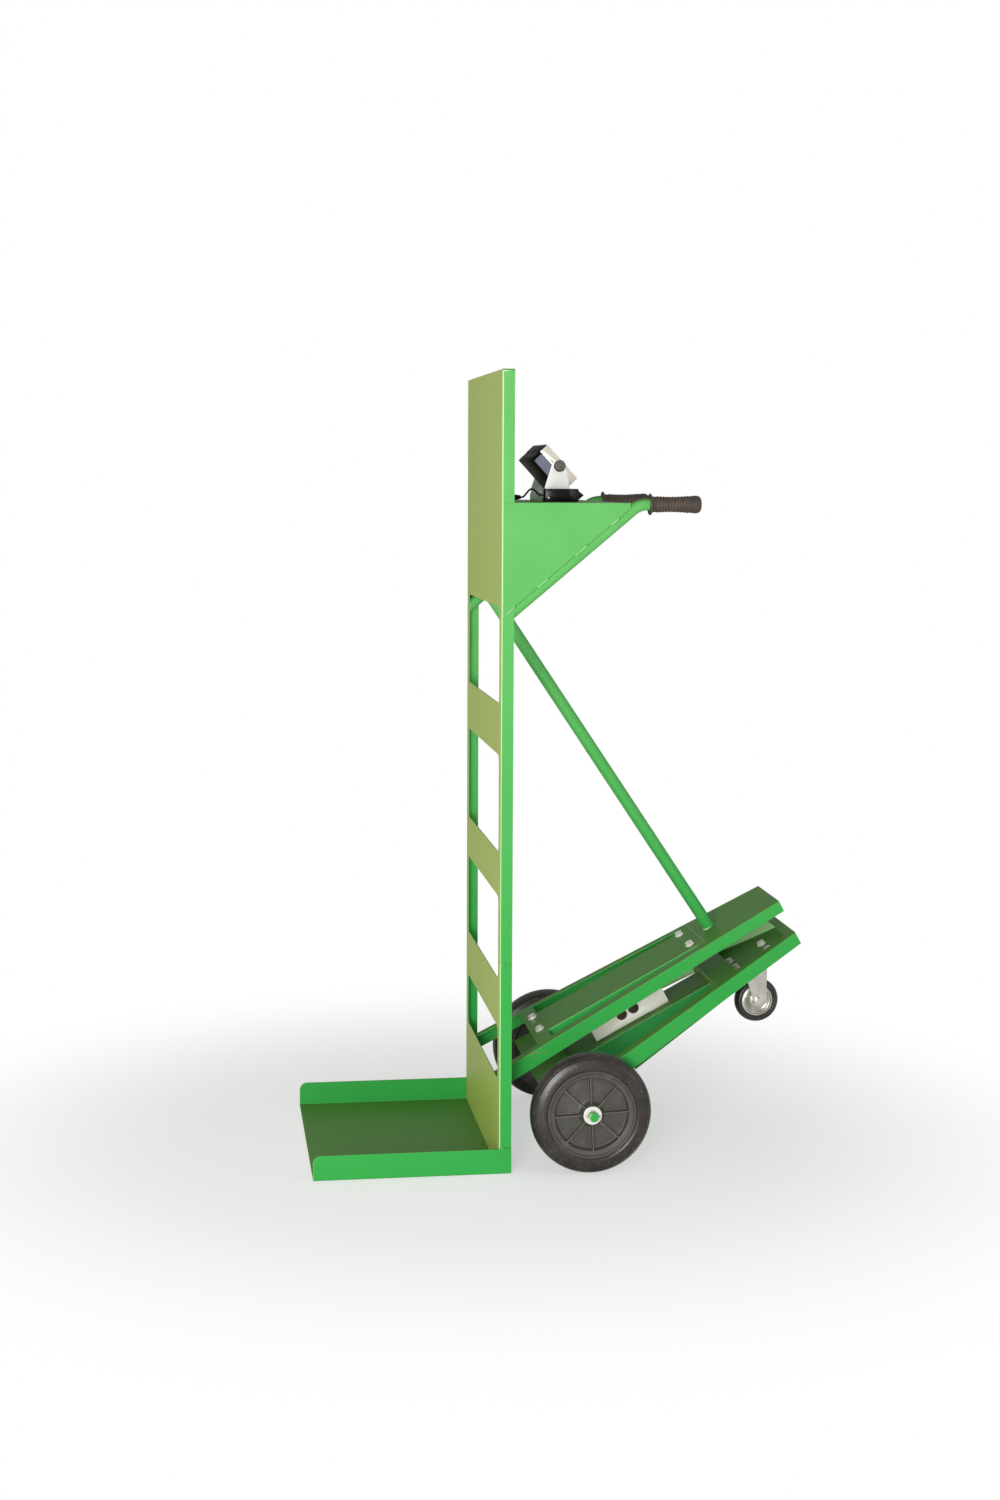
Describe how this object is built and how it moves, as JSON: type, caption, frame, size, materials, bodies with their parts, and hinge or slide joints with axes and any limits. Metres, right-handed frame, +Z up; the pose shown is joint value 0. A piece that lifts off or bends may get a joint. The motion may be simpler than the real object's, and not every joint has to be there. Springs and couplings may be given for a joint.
{
  "type": "weighing trolley",
  "caption": "Stand-up hand trolley with a toe tray, windowed back, tilted booms around a load cell, swivel caster, handles and a weight indicator.",
  "frame": {"origin": "on the floor under the back panel's front face, midway between its sides", "axes": "+Z up, +X from the toe tray towards the handles and the caster, +Y across the trolley"},
  "size_m": [1.0872, 0.658, 1.671],
  "materials": {
    "green_paint": "glossy green enamel on sheet steel",
    "tyre_rubber": "solid black rubber",
    "grip_rubber": "moulded black rubber",
    "rim_plastic": "moulded dark grey plastic",
    "zinc_plate": "bright zinc plating",
    "cell_aluminium": "milled aluminium",
    "stainless": "brushed stainless sheet",
    "black_plastic": "black ABS",
    "grey_plastic": "grey ABS",
    "display_glass": "dark display window",
    "key_rubber": "grey silicone rubber",
    "nylon": "natural nylon",
    "bright_shell": "brushed bright metal"
  },
  "bodies": {
    "root": {"back_panel_upper": "green_paint", "back_panel_lower": "green_paint", "toe_tray": "green_paint", "console_side_left": "green_paint", "console_side_right": "green_paint", "console_shelf": "green_paint", "handle_tube_left": "green_paint", "handle_tube_right": "green_paint", "grip_left": "grip_rubber", "grip_right": "grip_rubber", "rear_strut": "green_paint", "upper_boom_frame": "green_paint", "upper_boom_channel": "green_paint", "channel_bolt_1": "zinc_plate", "channel_bolt_2": "zinc_plate", "channel_bolt_3": "zinc_plate", "channel_bolt_4": "zinc_plate", "load_cell": "cell_aluminium", "load_cell_upper_spacer": "zinc_plate", "load_cell_lower_spacer": "zinc_plate", "lower_boom_frame": "green_paint", "lower_boom_channel": "green_paint", "caster_mount_plate": "green_paint", "caster_top_plate": "zinc_plate", "caster_bolt_1": "zinc_plate", "caster_bolt_2": "zinc_plate", "caster_bolt_3": "zinc_plate", "caster_bolt_4": "zinc_plate", "axle": "green_paint", "axle_washer_left": "zinc_plate", "axle_washer_right": "zinc_plate", "cotter_pin_left": "zinc_plate", "cotter_pin_right": "zinc_plate", "cable_box": "black_plastic", "indicator_bracket": "stainless", "cable_gland": "black_plastic", "indicator_cable": "black_plastic"},
    "main_wheel_left": {"tyre_left": "tyre_rubber", "rim_left": "rim_plastic", "wheel_bush_left": "nylon"},
    "main_wheel_right": {"tyre_right": "tyre_rubber", "rim_right": "rim_plastic", "wheel_bush_right": "nylon"},
    "caster_swivel": {"caster_swivel_race": "zinc_plate", "caster_fork": "zinc_plate", "caster_axle_bolt": "zinc_plate"},
    "caster_wheel": {"caster_tyre": "tyre_rubber", "caster_hub": "zinc_plate"},
    "indicator": {"indicator_bezel": "bright_shell", "indicator_housing": "grey_plastic", "indicator_back_cover": "black_plastic", "display_lens": "display_glass"},
    "clamp_knob_left": {"knob_left": "black_plastic"},
    "clamp_knob_right": {"knob_right": "black_plastic"},
    "indicator_key_1": {"key_1": "key_rubber"},
    "indicator_key_2": {"key_2": "key_rubber"},
    "indicator_key_3": {"key_3": "key_rubber"},
    "indicator_key_4": {"key_4": "key_rubber"}
  },
  "joints": [
    {"name": "wheel_left_spin", "type": "hinge", "parent": "root", "child": "main_wheel_left", "pos_m": [0.193, -0.287, 0.129], "axis": [0, 1, 0], "continuous": true},
    {"name": "wheel_right_spin", "type": "hinge", "parent": "root", "child": "main_wheel_right", "pos_m": [0.193, 0.287, 0.129], "axis": [0, 1, 0], "continuous": true},
    {"name": "caster_swivel_turn", "type": "hinge", "parent": "root", "child": "caster_swivel", "pos_m": [0.60647, 0, 0.3835], "axis": [-0.4772, 0, 0.8788], "continuous": true},
    {"name": "caster_wheel_spin", "type": "hinge", "parent": "caster_swivel", "child": "caster_wheel", "pos_m": [0.62155, 0, 0.29082], "axis": [0, 1, 0], "continuous": true},
    {"name": "indicator_tilt", "type": "hinge", "parent": "root", "child": "indicator", "pos_m": [0.148, 0, 1.4783], "axis": [0, 1, 0], "range_deg": [-5, 40]},
    {"name": "knob_left_turn", "type": "hinge", "parent": "indicator", "child": "clamp_knob_left", "pos_m": [0.148, -0.0985, 1.4783], "axis": [0, 1, 0], "continuous": true},
    {"name": "knob_right_turn", "type": "hinge", "parent": "indicator", "child": "clamp_knob_right", "pos_m": [0.148, 0.0985, 1.4783], "axis": [0, 1, 0], "continuous": true},
    {"name": "key_1_press", "type": "slide", "parent": "indicator", "child": "indicator_key_1", "axis": [-0.7361, 0, -0.6769], "range_m": [0, 0.001], "stiffness_N_per_m": 800},
    {"name": "key_2_press", "type": "slide", "parent": "indicator", "child": "indicator_key_2", "axis": [-0.7361, 0, -0.6769], "range_m": [0, 0.001], "stiffness_N_per_m": 800},
    {"name": "key_3_press", "type": "slide", "parent": "indicator", "child": "indicator_key_3", "axis": [-0.7361, 0, -0.6769], "range_m": [0, 0.001], "stiffness_N_per_m": 800},
    {"name": "key_4_press", "type": "slide", "parent": "indicator", "child": "indicator_key_4", "axis": [-0.7361, 0, -0.6769], "range_m": [0, 0.001], "stiffness_N_per_m": 800}
  ]
}
